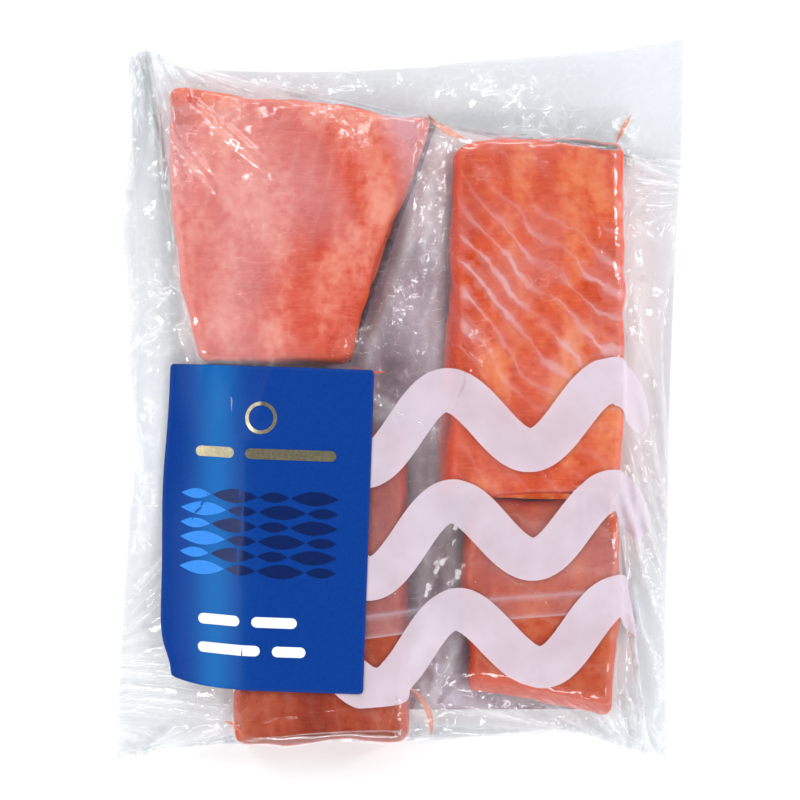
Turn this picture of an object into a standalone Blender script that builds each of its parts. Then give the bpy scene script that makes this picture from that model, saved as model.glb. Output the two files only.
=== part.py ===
"""A clear sealed pouch that holds four raw salmon portions, with a label stuck on its face.

The pouch lies on its back, face up. The origin is the middle of its underside, +X runs
to the right across the face, +Y towards the top seal and +Z up, out of the face.
The film and what it holds are one solid, whose top is the shape of the drawn-down film.
"""

import math

import bmesh
import bpy
import numpy as np
from mathutils import Matrix, Vector

MM = 0.001

# Driving dimensions
MARGIN_THICKNESS = 1.2 * MM
MARGIN_RIPPLE = 0.8 * MM
RIPPLE_LENGTH = 34 * MM
FILM_SPAN = 19 * MM
SHOULDER = 7 * MM
CORNER_ROUNDING = 3 * MM
CROWN = 1.5 * MM
RIM_FADE = 12 * MM
POUCH_WIDTH = 242 * MM
POUCH_LENGTH = 308 * MM
GRID_COLUMNS = 44
GRID_ROWS = 56
SMOOTHINGS = 2

LABEL_WIDTH = 87 * MM
LABEL_LENGTH = 135 * MM
LABEL_THICKNESS = 0.4 * MM
LABEL_GAP = 0.3 * MM
LABEL_CENTRE = Vector((-56.5 * MM, -53.5 * MM, 0))
LABEL_TURN = math.radians(-2)
LABEL_CORNER = 2.5 * MM

FILM_COLOUR = (0.86, 0.42, 0.30, 1)
LABEL_COLOUR = (0.004, 0.055, 0.36, 1)

# The four edges of the pouch as drawn in by the vacuum, in millimetres. Each starts and
# ends at a corner, and the film pulls its middle towards the portions.
TOP_EDGE = ((-116, 146), (-106, 150), (-93, 142), (-42, 140), (0, 141.5), (67, 146), (121, 154))
BOTTOM_EDGE = ((-121, -153), (-97, -148), (-38, -146), (15, -145), (67, -141), (92, -147), (114, -154))
LEFT_EDGE = ((-121, -153), (-119, -105), (-115, -42), (-112, 21), (-113, 84), (-116, 146))
RIGHT_EDGE = ((114, -154), (113, -104), (114, -57), (115, 0), (118, 73), (120, 102), (121, 154))

# Each portion: its corners in millimetres, anticlockwise, and its thickness.
PORTIONS = {
    "belly_end": (((-88, 15), (-20, 16), (14, 117), (-98, 129)), 20 * MM),
    "loin": (((20, -40), (94, -42), (93, 109), (25, 107)), 24 * MM),
    "tail_end": (((-70, -144), (4, -143), (3, -14), (-68, -12)), 22 * MM),
    "short_loin": (((28, -128), (91, -137), (93, -46), (29, -46)), 20 * MM),
}
SHARPNESS = 3


def start_clean():
    """Empties the scene and gives back a new collection for the pouch."""
    for thing in list(bpy.data.objects):
        bpy.data.objects.remove(thing, do_unlink=True)
    collection = bpy.data.collections.new("salmon_pouch")
    bpy.context.scene.collection.children.link(collection)
    return collection


def material(name, colour, roughness):
    """A Principled material of one colour."""
    made = bpy.data.materials.new(name)
    made.use_nodes = True
    shader = made.node_tree.nodes["Principled BSDF"]
    shader.inputs["Base Color"].default_value = colour
    shader.inputs["Roughness"].default_value = roughness
    shader.inputs["Metallic"].default_value = 0
    made.diffuse_color = colour
    return made


def smooth_line(points, share):
    """The point at this share, 0 to 1, of a Catmull-Rom curve through points in millimetres."""
    line = [np.array(p, float) * MM for p in points]
    along = share * (len(line) - 1)
    start = min(int(along), len(line) - 2)
    t = along - start
    before = line[start - 1] if start else 2 * line[0] - line[1]
    after = line[start + 2] if start + 2 < len(line) else 2 * line[-1] - line[-2]
    a, b = line[start], line[start + 1]
    curve = 2 * a + (b - before) * t
    curve += (2 * before - 5 * a + 4 * b - after) * t**2
    curve += (3 * a - before - 3 * b + after) * t**3
    return curve / 2


def place_on_pouch(across, up):
    """The plan position of a grid point: a Coons patch between the pouch's four edges."""
    bottom, top = smooth_line(BOTTOM_EDGE, across), smooth_line(TOP_EDGE, across)
    left, right = smooth_line(LEFT_EDGE, up), smooth_line(RIGHT_EDGE, up)
    sides = (1 - up) * bottom + up * top + (1 - across) * left + across * right
    lower = (1 - across) * smooth_line(BOTTOM_EDGE, 0) + across * smooth_line(BOTTOM_EDGE, 1)
    upper = (1 - across) * smooth_line(TOP_EDGE, 0) + across * smooth_line(TOP_EDGE, 1)
    return sides - (1 - up) * lower - up * upper


def distance_inside(corners, x, y):
    """How far a point lies inside a convex outline, with its corners rounded."""
    nearness = 0
    for (x0, y0), (x1, y1) in zip(corners, corners[1:] + corners[:1]):
        along = Vector((x1 - x0, y1 - y0)).normalized()
        inward = -along.y * (x - x0 * MM) + along.x * (y - y0 * MM)
        nearness += math.exp(-inward / CORNER_ROUNDING)
    return -CORNER_ROUNDING * math.log(nearness)


def film_over(corners, thickness, x, y):
    """The film's height over one portion: flat on it, then sloping down to the margin."""
    inside = distance_inside(corners, x, y)
    t = min(max((inside + FILM_SPAN) / (FILM_SPAN + SHOULDER), 0), 1)
    crown = CROWN * min(max(inside / (4 * SHOULDER), 0), 1)
    return thickness * t * t * (3 - 2 * t) + crown


def film_height(x, y, from_rim):
    """The film's height over all the portions: it bridges their gaps and meets the rim flat."""
    heights = [film_over(corners, thickness, x, y) for corners, thickness in PORTIONS.values()]
    bridged = sum(h**SHARPNESS for h in heights) ** (1 / SHARPNESS)
    waves = math.sin(2 * math.pi * x / RIPPLE_LENGTH) * math.cos(2 * math.pi * y / RIPPLE_LENGTH)
    fade = min(from_rim / RIM_FADE, 1)
    return MARGIN_THICKNESS + (MARGIN_RIPPLE * (1 + waves) / 2 + bridged) * fade * (2 - fade)


def draped_top():
    """The pouch's upper surface: a grid laid over the outline and dropped on the portions."""
    bpy.ops.mesh.primitive_grid_add(
        x_subdivisions=GRID_COLUMNS, y_subdivisions=GRID_ROWS, size=2, location=(0, 0, 0)
    )
    grid = bpy.context.active_object
    surface = bmesh.new()
    surface.from_mesh(grid.data)
    bpy.data.objects.remove(grid, do_unlink=True)
    for vertex in surface.verts:
        across, up = (vertex.co.x + 1) / 2, (vertex.co.y + 1) / 2
        from_rim = min(
            POUCH_WIDTH * min(across, 1 - across),
            POUCH_LENGTH * min(up, 1 - up),
        )
        x, y = place_on_pouch(across, up)
        vertex.co = (x, y, film_height(x, y, from_rim))
    inner = [vertex for vertex in surface.verts if not vertex.is_boundary]
    for _ in range(SMOOTHINGS):
        bmesh.ops.smooth_vert(surface, verts=inner, factor=0.5, use_axis_z=True)
    bmesh.ops.triangulate(surface, faces=surface.faces[:])
    return surface


def add_piece(collection, name, shape, finish):
    """Turns a bmesh into a named object with its material, and frees the bmesh."""
    bmesh.ops.recalc_face_normals(shape, faces=shape.faces[:])
    mesh = bpy.data.meshes.new(name)
    shape.to_mesh(mesh)
    shape.free()
    mesh.materials.append(finish)
    piece = bpy.data.objects.new(name, mesh)
    collection.objects.link(piece)
    mesh.shade_smooth()
    mesh.set_sharp_from_angle(angle=math.radians(50))
    return piece


def make_pouch(collection, finish):
    """The filled pouch: its draped top, a thin rim all round and a flat underside."""
    shape = draped_top()
    rim = [edge for edge in shape.edges if edge.is_boundary]
    walls = bmesh.ops.extrude_edge_only(shape, edges=rim)["geom"]
    foot = [item for item in walls if isinstance(item, bmesh.types.BMVert)]
    for vertex in foot:
        vertex.co.z = 0
    base = [item for item in walls if isinstance(item, bmesh.types.BMEdge) and item.is_boundary]
    bmesh.ops.holes_fill(shape, edges=base, sides=len(base))
    bmesh.ops.triangulate(shape, faces=[f for f in shape.faces if len(f.verts) > 4])
    return add_piece(collection, "pouch", shape, finish)


def label_cuts():
    """The planes that trim the label, as points and outward normals: its sides and corners."""
    half = Vector((LABEL_WIDTH / 2, LABEL_LENGTH / 2, 0))
    turn = Matrix.Rotation(LABEL_TURN, 3, "Z")
    for side_x, side_y in ((1, 0), (-1, 0), (0, 1), (0, -1)):
        normal = Vector((side_x, side_y, 0))
        point = Vector((side_x * half.x, side_y * half.y, 0))
        yield LABEL_CENTRE + turn @ point, turn @ normal
    for side_x in (1, -1):
        for side_y in (1, -1):
            normal = Vector((side_x, side_y, 0)).normalized()
            point = Vector((side_x * (half.x - LABEL_CORNER), side_y * half.y, 0))
            yield LABEL_CENTRE + turn @ point, turn @ normal


def make_label(collection, finish):
    """The label: the same facets as the film under it, trimmed, lifted clear and thickened."""
    shape = draped_top()
    for point, normal in label_cuts():
        everything = shape.verts[:] + shape.edges[:] + shape.faces[:]
        bmesh.ops.bisect_plane(
            shape, geom=everything, plane_co=point, plane_no=normal, dist=1e-6, clear_outer=True
        )
    bmesh.ops.triangulate(shape, faces=shape.faces[:])
    bmesh.ops.translate(shape, verts=shape.verts[:], vec=(0, 0, LABEL_GAP))
    raised = bmesh.ops.extrude_face_region(shape, geom=shape.faces[:], use_keep_orig=True)["geom"]
    upper = [item for item in raised if isinstance(item, bmesh.types.BMVert)]
    bmesh.ops.translate(shape, verts=upper, vec=(0, 0, LABEL_THICKNESS))
    return add_piece(collection, "label", shape, finish)


def main():
    collection = start_clean()
    make_pouch(collection, material("film_over_salmon", FILM_COLOUR, 0.2))
    make_label(collection, material("printed_label", LABEL_COLOUR, 0.35))


main()
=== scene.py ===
# %% [markdown]
# # A sealed pouch of raw salmon portions
# Four cut portions of salmon lie side by side in a clear film pouch. The air has been drawn out, so the
# film is pulled down over the fish, tents across the gaps and puckers towards the seals. A blue paper
# label is stuck on the face and pale waves are printed on the film.
#
# Everything is in metres. The pouch lies on its back: +X is right, +Y is towards the top seal, +Z is up.

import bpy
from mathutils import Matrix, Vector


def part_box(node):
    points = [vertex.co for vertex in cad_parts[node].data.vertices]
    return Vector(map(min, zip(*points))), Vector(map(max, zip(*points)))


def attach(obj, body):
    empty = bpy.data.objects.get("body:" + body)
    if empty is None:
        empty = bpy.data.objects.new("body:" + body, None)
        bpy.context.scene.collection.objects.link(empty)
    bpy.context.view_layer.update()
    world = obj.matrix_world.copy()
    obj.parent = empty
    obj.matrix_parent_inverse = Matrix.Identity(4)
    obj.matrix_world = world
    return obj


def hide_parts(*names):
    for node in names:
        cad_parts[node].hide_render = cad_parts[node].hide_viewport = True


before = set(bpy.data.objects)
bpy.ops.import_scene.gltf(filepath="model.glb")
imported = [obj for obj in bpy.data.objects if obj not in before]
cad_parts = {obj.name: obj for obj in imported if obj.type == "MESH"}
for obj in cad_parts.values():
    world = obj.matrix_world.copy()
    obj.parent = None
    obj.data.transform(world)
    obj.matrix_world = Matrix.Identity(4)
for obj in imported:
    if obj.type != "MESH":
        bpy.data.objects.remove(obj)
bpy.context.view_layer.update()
pouch_low, pouch_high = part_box("pouch")
print("pouch, in metres:", [round(side, 4) for side in pouch_high - pouch_low])

# %% Modules and units
import math

import bpy
import numpy as np
from mathutils import Vector, noise
from mathutils.bvhtree import BVHTree

MM = 0.001
BODY = "root"
POUCH_WIDTH = pouch_high.x - pouch_low.x
POUCH_LENGTH = pouch_high.y - pouch_low.y

# %% [markdown]
# ## Small helpers
# Colours are picked as sRGB hex values, as on a paint card, and Blender's shaders want linear light, so
# one function converts them. Another adds a shader node with its settings and its links in one call,
# which keeps each material readable as a list of steps. The rest select a piece, apply a modifier, and
# read or write a mesh's points as an array.


# %% Helpers for colours and shader nodes
def srgb(code):
    """An sRGB hex colour as linear red, green, blue and alpha."""
    channels = [int(code[i : i + 2], 16) / 255 for i in (1, 3, 5)]
    linear = [c / 12.92 if c <= 0.04045 else ((c + 0.055) / 1.055) ** 2.4 for c in channels]
    return (*linear, 1.0)


def add(material, kind, inputs=None, stops=(), **settings):
    """Adds one shader node.

    inputs maps a socket's name or number to a number, a colour, a node, whose first output is linked,
    or one output. stops are a colour ramp's places, 0 to 1, and their sRGB hex colours.
    """
    tree = material.node_tree
    node = tree.nodes.new("ShaderNode" + kind)
    for name, value in settings.items():
        setattr(node, name, value)
    for name, value in (inputs or {}).items():
        source = value.outputs[0] if isinstance(value, bpy.types.Node) else value
        if isinstance(source, bpy.types.NodeSocket):
            tree.links.new(source, node.inputs[name])
        else:
            node.inputs[name].default_value = source
    for place, code in stops[2:]:
        node.color_ramp.elements.new(place)
    for number, (place, code) in enumerate(stops):
        node.color_ramp.elements[number].position = place
        node.color_ramp.elements[number].color = srgb(code)
    return node


def new_material(name):
    """An empty node material."""
    material = bpy.data.materials.new(name)
    material.use_nodes = True
    material.node_tree.nodes.clear()
    return material


def per_metre(size_mm):
    """The Scale of a texture whose blobs, cells or lines are about size_mm apart."""
    return 1000 / size_mm


# %% Helpers for pieces
def only(piece):
    """Selects one piece and nothing else, and makes it active."""
    bpy.ops.object.select_all(action="DESELECT")
    piece.select_set(True)
    bpy.context.view_layer.objects.active = piece


def apply(piece, kind, **settings):
    """Adds a modifier, sets it up and applies it."""
    only(piece)
    modifier = piece.modifiers.new(kind.lower(), kind)
    for name, value in settings.items():
        setattr(modifier, name, value)
    bpy.ops.object.modifier_apply(modifier=modifier.name)


def points_of(piece):
    """A mesh's points as an array of rows x, y, z."""
    found = np.empty(len(piece.data.vertices) * 3, np.float32)
    piece.data.vertices.foreach_get("co", found)
    return found.reshape(-1, 3).astype(float)


def move_points(piece, places):
    """Puts a mesh's points at these places."""
    piece.data.vertices.foreach_set("co", np.asarray(places, np.float32).ravel())
    piece.data.update()


def note(piece, name, values):
    """Stores one number on each point of a piece, for its material to read."""
    field = piece.data.attributes.new(name, "FLOAT", "POINT")
    field.data.foreach_set("value", np.asarray(values, np.float32).ravel())


def flat_grid(name, columns, rows):
    """A flat grid from 0 to 1 in x and y, with its points in rows, ready to be placed."""
    bpy.ops.object.select_all(action="DESELECT")
    bpy.ops.mesh.primitive_grid_add(
        size=1, location=(0.5, 0.5, 0), x_subdivisions=columns, y_subdivisions=rows
    )
    bpy.ops.object.transform_apply(location=True, rotation=True, scale=True)
    sheet = bpy.context.active_object
    sheet.name = name
    return sheet


def finish_piece(piece, material):
    """The last step for every piece: its material, smooth shading and its body."""
    if material is not None:
        piece.data.materials.append(material)
    piece.data.shade_smooth()
    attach(piece, BODY)
    low, high = points_of(piece).min(axis=0), points_of(piece).max(axis=0)
    print(f"{piece.name}: {len(piece.data.polygons)} faces, mm {(low / MM).round(1)} to {(high / MM).round(1)}")


# %% [markdown]
# ## Camera, floor and light
# The pouch is looked at from straight above, through a long lens, as on a copy stand. Film is seen by
# what it mirrors. If the whole room were white, its reflection would lie over the fish like fog, so the
# room is bright all round but dark overhead: flat film mirrors the dark and stays clear, and only the
# slopes of its folds catch white. Narrow panels add the crisp glints.

# %% Camera
LENS_MM = 85
SENSOR_MM = 36
VIEW_WIDTH = 336 * MM
copy_stand = bpy.data.cameras.new("copy_stand")
copy_stand.lens = LENS_MM
copy_stand.sensor_width = SENSOR_MM
camera = bpy.data.objects.new("copy_stand", copy_stand)
camera.location = (0, 0, pouch_high.z / 2 + VIEW_WIDTH * LENS_MM / SENSOR_MM)
bpy.context.scene.collection.objects.link(camera)
bpy.context.scene.camera = camera
bpy.context.scene.view_settings.view_transform = "Standard"
print("camera height, m:", round(camera.location.z, 3))

# %% Floor
FLOOR_SIZE = 4.0
bpy.ops.object.select_all(action="DESELECT")
bpy.ops.mesh.primitive_plane_add(size=FLOOR_SIZE, location=(0, 0, 0))
floor = bpy.context.active_object
floor.name = "floor"
card = new_material("white_card")
matt = add(card, "BsdfDiffuse", {"Color": srgb("#fdfdfd")})
add(card, "OutputMaterial", {"Surface": matt})
floor.data.materials.append(card)


# %% Lights
def panel(name, place, width, height, watts, colour="#ffffff"):
    """A rectangular soft light that faces the pouch."""
    light = bpy.data.lights.new(name, "AREA")
    light.shape = "RECTANGLE"
    light.size = width
    light.size_y = height
    light.energy = watts
    light.color = srgb(colour)[:3]
    holder = bpy.data.objects.new(name, light)
    holder.location = place
    holder.rotation_euler = (-Vector(place)).to_track_quat("-Z", "Y").to_euler()
    bpy.context.scene.collection.objects.link(holder)


panel("broad_softbox", (-0.75, 0.75, 0.75), 0.4, 0.5, 4.6)
panel("window_panel", (0.85, 0.3, 0.6), 0.12, 0.5, 3.1, "#f6f8ff")
panel("left_strip", (-0.85, -0.2, 0.5), 0.07, 0.6, 2.2)
panel("right_softbox", (0.8, -0.65, 0.75), 0.3, 0.4, 2.7)
panel("foot_strip", (0.1, -0.9, 0.62), 0.6, 0.07, 2.2)
panel("top_strip", (0.15, 0.9, 0.5), 0.6, 0.07, 1.8)

# %% A room that is bright all round and dark overhead
ROOM_BRIGHTNESS = 1.16
OVERHEAD_BRIGHTNESS = 0.08
WALL_TOP, CEILING = 0.5, 0.9
room = bpy.data.worlds.new("studio_room")
room.use_nodes = True
room.node_tree.nodes.clear()
direction = add(room, "TexCoord").outputs["Generated"]
height = add(room, "SeparateXYZ", {0: direction}).outputs["Z"]
limits = {"Value": height, "From Min": WALL_TOP, "From Max": CEILING}
limits.update({"To Min": ROOM_BRIGHTNESS, "To Max": OVERHEAD_BRIGHTNESS})
brightness = add(room, "MapRange", limits, interpolation_type="SMOOTHSTEP")
walls = add(room, "Background", {"Color": srgb("#fbfbfd"), "Strength": brightness})
add(room, "OutputWorld", {"Surface": walls})
bpy.context.scene.world = room

# %% [markdown]
# ## Raw salmon flesh
# Salmon muscle is a stack of thin sheets, each wrapped in pale connective tissue and fat. Where a knife
# crosses them, the edges of the wrappers show as soft pale lines, 7 to 11 mm apart, wide in places and
# lost in others. The flesh between is translucent, coral to orange, with fine fibres across each sheet.
#
# The lines must follow the cut, so each portion carries its own map: across counts the sheets, fat says
# how strongly the lines show and rim where an edge is thin, so that light shines through it. That glow is
# painted into the colour as a deeper orange. The shader draws the lines from that map and warps them with
# noise, and subsurface scattering gives the wet depth of the flesh.


# %% Flesh material
def salmon_flesh(name, deep, middle, pale, fat_colour, edge, fibre_turn):
    """Raw salmon, wet from its own juice, with its colours from deep to pale and a painted glow at thin edges."""
    material = new_material(name)
    place = add(material, "TexCoord").outputs["Object"]
    across = add(material, "Attribute", attribute_name="across").outputs["Fac"]
    fat = add(material, "Attribute", attribute_name="fat").outputs["Fac"]
    rim = add(material, "Attribute", attribute_name="rim").outputs["Fac"]

    # Long blotches, 20 by 44 mm, carry the broad change of colour, and ones of 4 mm the mottling.
    drawn_out = {"Vector": place, "Rotation": (0, 0, 0.12)}
    drawn_out["Scale"] = (per_metre(20), per_metre(44), per_metre(20))
    long_way = add(material, "Mapping", drawn_out)
    broad = add(material, "TexNoise", {"Vector": long_way, "Scale": 1.0, "Detail": 4.0, "Distortion": 0.3})
    fine = add(material, "TexNoise", {"Vector": place, "Scale": per_metre(4), "Detail": 6.0})
    mottled = add(material, "Math", {0: fine, 1: 0.35, 2: broad}, operation="MULTIPLY_ADD")
    stops = ((0.48, deep), (0.67, middle), (0.88, pale))
    colour = add(material, "ValToRGB", {0: mottled}, stops)

    # Fibres: noise drawn out to threads 0.7 mm apart and 9 mm long, turned to lie across the sheets.
    turned = {"Vector": place, "Rotation": (0, 0, fibre_turn)}
    turned["Scale"] = (per_metre(9), per_metre(0.7), per_metre(9))
    threads = add(material, "Mapping", turned)
    fibres = add(material, "TexNoise", {"Vector": threads, "Scale": 1.0, "Detail": 2.0, "Distortion": 0.4})
    limits = {"Value": fibres, "From Min": 0.46, "From Max": 0.74, "To Max": 0.2}
    fibre_share = add(material, "MapRange", limits, interpolation_type="SMOOTHSTEP")
    mix = {0: fibre_share, 6: colour, 7: srgb(pale)}
    colour = add(material, "Mix", mix, data_type="RGBA").outputs[2]

    # A fat line runs where the count of sheets is whole, after a warp of half a sheet. Its bright core
    # has a soft halo three times as wide, where the fat goes down into the flesh.
    warp = add(material, "TexNoise", {"Vector": place, "Scale": per_metre(24), "Detail": 5.0})
    warped = add(material, "Math", {0: warp, 1: 1.9, 2: across}, operation="MULTIPLY_ADD")
    from_line = add(material, "Math", {0: warped, 1: 0.5}, operation="PINGPONG")
    swell = add(material, "TexNoise", {"Vector": place, "Scale": per_metre(13), "Detail": 4.0})
    limits = {"Value": swell, "From Min": 0.36, "From Max": 0.62, "To Min": 0.06, "To Max": 0.36}
    half_width = add(material, "MapRange", limits, interpolation_type="SMOOTHSTEP")
    nearness = add(material, "Math", {0: from_line, 1: half_width}, operation="DIVIDE")
    limits = {"Value": nearness, "From Min": 0.0, "From Max": 1.0, "To Min": 0.85, "To Max": 0.0}
    core = add(material, "MapRange", limits, interpolation_type="SMOOTHERSTEP")
    limits = {"Value": nearness, "From Min": 0.0, "From Max": 3.0, "To Min": 0.3, "To Max": 0.0}
    halo = add(material, "MapRange", limits, interpolation_type="SMOOTHSTEP")
    line = add(material, "Math", {0: core, 1: halo}, operation="MAXIMUM")
    stretches = add(material, "TexNoise", {"Vector": place, "Scale": per_metre(42), "Detail": 2.0})
    limits = {"Value": stretches, "From Min": 0.38, "From Max": 0.6, "To Min": 0.2}
    present = add(material, "MapRange", limits, interpolation_type="SMOOTHSTEP")
    shown = add(material, "Math", {0: line, 1: present}, operation="MULTIPLY")
    shown = add(material, "Math", {0: shown, 1: fat}, operation="MULTIPLY")
    colour = add(material, "Mix", {0: shown, 6: colour, 7: srgb(fat_colour)}, data_type="RGBA").outputs[2]
    # Painted glow: near thin edges the colour turns to a deeper orange, for light shining through the flesh.
    colour = add(material, "Mix", {0: rim, 6: colour, 7: srgb(edge)}, data_type="RGBA").outputs[2]

    relief = add(material, "Math", {0: shown, 1: 0.6, 2: fibres}, operation="MULTIPLY_ADD")
    bump = add(material, "Bump", {"Height": relief, "Strength": 0.3, "Distance": 0.25 * MM})
    limits = {"Value": fine, "From Min": 0.3, "From Max": 0.7, "To Min": 0.24, "To Max": 0.42}
    wet = add(material, "MapRange", limits)
    inputs = {"Base Color": colour, "Roughness": wet, "IOR": 1.38, "Normal": bump}
    inputs["Specular IOR Level"] = 0.3
    inputs["Subsurface Weight"] = 0.2
    inputs["Subsurface Radius"] = (3.0, 1.0, 0.6)
    inputs["Subsurface Scale"] = MM
    shader = add(material, "BsdfPrincipled", inputs)
    add(material, "OutputMaterial", {"Surface": shader})
    return material


# %% [markdown]
# ## Salmon skin
# The portions lie on their skin, so it shows as a thin dark line along the foot of a cut, and from
# below. It is silver-grey with small overlapping scales about 2 mm across. A Voronoi pattern of that size
# gives each scale its own tone and a slight dome.


# %% Skin material
def salmon_skin():
    """Wet silver-grey fish skin with scales 2 mm across."""
    material = new_material("wet_salmon_skin")
    place = add(material, "TexCoord").outputs["Object"]
    scales = add(material, "TexVoronoi", {"Vector": place, "Scale": per_metre(2)})
    tone = add(material, "SeparateXYZ", {0: scales.outputs["Color"]})
    stops = ((0.0, "#54404a"), (0.6, "#6a545e"), (1.0, "#84707c"))
    colour = add(material, "ValToRGB", {0: tone}, stops)
    bump = add(material, "Bump", {"Height": scales, "Strength": 0.4, "Distance": 0.2 * MM})
    inputs = {"Base Color": colour, "Roughness": 0.28, "Metallic": 0.2, "Normal": bump}
    shader = add(material, "BsdfPrincipled", inputs)
    add(material, "OutputMaterial", {"Surface": shader})
    return material


# %% [markdown]
# ## The four portions
# A portion is a straight-sided slab cut across a fillet, lying on its skin. It could be sculpted from a
# subdivided cage, but a cube whose eight corners are pulled to the corners of the cut says it plainest.
# A bevel rounds the edges, a voxel remesh turns the slab into even, dense quads, and then its points
# move a little: the top crowns and ripples, the walls bulge, and a shallow valley follows each sheet.

# %% Sizes of the portions
VOXEL = 1.1 * MM
CORNER_ROUNDING = 4 * MM
EDGE_ROUNDING = 1.8 * MM
EDGE_ANGLE = math.radians(50)
SKIN_BASE = 0.8 * MM
SKIN_TOP = 1.6 * MM
VALLEY_DEPTH = 0.4 * MM
EDGE_GLOW_BREADTH = 4 * MM
EDGE_GLOW_SHARE = 0.85

# corners: the top of the cut, in millimetres from the pouch's middle, anticlockwise from lower left.
# foot: how far each corner of the skin side stands out past it, so that a slanting wall shows.
# bows: how far the lower, right, upper and left sides curve out. heights: the thickness at the corners. skin: how far the skin shows past the foot, there too.
# sheets: the lean and bend of the lines of muscle, how far apart they are in millimetres, how fat they
# are, and where up the pouch they are strongest and how far they reach from there.
CUTS = {
    "belly_end": {
        "corners": ((-83, 16), (-22, 17), (13.5, 118), (-97, 132)),
        "foot": ((-3, -1), (1, -1), (1, 1), (-1, 1)),
        "bows": (0, -1.5, 1.0, 4.0),
        "heights": (16, 20, 20, 10),
        "skin": ((2, 2), (-0.4, 0), (1.4, -1), (2, -2)),
        "sheets": {"lean": -2.4, "bend": 0.01, "apart": 26, "fat": 0.14, "strong_at": 80, "reach": 200},
    },
    "loin": {
        "corners": ((22, -40), (91.5, -41), (92.5, 106), (24, 104)),
        "foot": ((-8, 0), (1, 0), (1, 1), (-1, 1)),
        "bows": (0, 1.0, 4.0, -0.5),
        "heights": (23, 23, 22, 22),
        "skin": ((2, 2), (-2, 2), (-2, -2), (2, -2)),
        "sheets": {"lean": 0.95, "bend": 0.0058, "apart": 12.5, "fat": 1.0, "strong_at": 40, "reach": 34},
    },
    "tail_end": {
        "corners": ((-69, -143), (2, -142), (0, -15), (-67, -13)),
        "foot": ((-1, -1), (2, -1), (3, 1), (-1, 1)),
        "bows": (0.5, 0.5, 0, 0.5),
        "heights": (20, 20, 21, 21),
        "skin": ((2, 2.5), (-2, 2.5), (-2, -2), (2, -2)),
        "sheets": {"lean": 3.0, "bend": 0.01, "apart": 30, "fat": 0.3, "strong_at": -80, "reach": 200},
    },
    "short_loin": {
        "corners": ((30, -116), (89, -127), (91, -41.4), (29, -41.2)),
        "foot": ((-2, -9), (1, -9), (1, 0), (-2, 0)),
        "bows": (-1.5, 1.5, 0, 1.0),
        "heights": (16, 17, 19, 19),
        "skin": ((2, 2.5), (-2, 2.5), (-2, -2), (2, -2)),
        "sheets": {"lean": 0.3, "bend": 0.004, "apart": 14, "fat": 0.4, "strong_at": -80, "reach": 200},
    },
}


# %% Cut one slab
def pull_point(piece, number, by):
    """Moves one point of a piece by hand, in edit mode."""
    only(piece)
    bpy.ops.object.mode_set(mode="EDIT")
    bpy.ops.mesh.select_all(action="DESELECT")
    bpy.ops.object.mode_set(mode="OBJECT")
    piece.data.vertices[number].select = True
    bpy.ops.object.mode_set(mode="EDIT")
    bpy.ops.transform.translate(value=by)
    bpy.ops.object.mode_set(mode="OBJECT")


def cut_slab(name, corners, foot, heights):
    """A box whose eight corners are pulled to the corners of the cut."""
    low = np.min(corners, axis=0) * MM
    high = np.max(corners, axis=0) * MM
    middle, span, tallest = (low + high) / 2, high - low, max(heights) * MM
    bpy.ops.object.select_all(action="DESELECT")
    bpy.ops.mesh.primitive_cube_add(
        size=1, location=(*middle, tallest / 2), scale=(*span, tallest)
    )
    bpy.ops.object.transform_apply(location=True, rotation=True, scale=True)
    piece = bpy.context.active_object
    piece.name = name
    for number, place in enumerate(points_of(piece)):
        right, back = place[0] > middle[0], place[1] > middle[1]
        corner = (2 if right else 3) if back else (1 if right else 0)
        x, y = corners[corner]
        if place[2] > tallest / 2:
            target = np.array((x, y, heights[corner])) * MM
        else:
            out_x, out_y = foot[corner]
            target = np.array((x + out_x, y + out_y, SKIN_TOP / MM)) * MM
        pull_point(piece, number, target - place)
    return piece


# %% Shape one portion
def inside_by(places, corners):
    """How far points are inside the outline of a cut, in metres."""
    nearest = np.full(len(places), np.inf)
    for start, end in zip(corners, corners[1:] + corners[:1]):
        start, end = np.array(start) * MM, np.array(end) * MM
        run = (end - start) / np.linalg.norm(end - start)
        step = places[:, :2] - start
        nearest = np.minimum(nearest, run[0] * step[:, 1] - run[1] * step[:, 0])
    return nearest


def roughness_of(places, size_mm, seed=0.0):
    """Smooth noise, about -1 to 1, at each place, with lumps of this size."""
    shift = Vector((seed, seed * 0.7, seed * 1.3))
    return np.array([noise.noise(Vector(place) / (size_mm * MM) + shift) for place in places])


def is_upright(piece, edge):
    """Whether an edge of the slab runs from the skin side to the top."""
    heights = [piece.data.vertices[number].co.z for number in edge.vertices]
    return min(heights) < 2 * SKIN_TOP < max(heights)


def bow_sides(places, corners, bows):
    """How far each point moves in plan so that the sides of the cut curve out."""
    shift = np.zeros((len(places), 2))
    for start, end, bow in zip(corners, corners[1:] + corners[:1], bows):
        start, end = np.array(start) * MM, np.array(end) * MM
        length = np.linalg.norm(end - start)
        run = (end - start) / length
        step = places[:, :2] - start
        share = np.clip(step @ run / length, 0, 1)
        inside = run[0] * step[:, 1] - run[1] * step[:, 0]
        near = np.clip(1 - inside / (25 * MM), 0, 1)
        amount = bow * MM * 4 * share * (1 - share) * near
        shift += amount[:, None] * np.array((run[1], -run[0]))
    return shift


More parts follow.
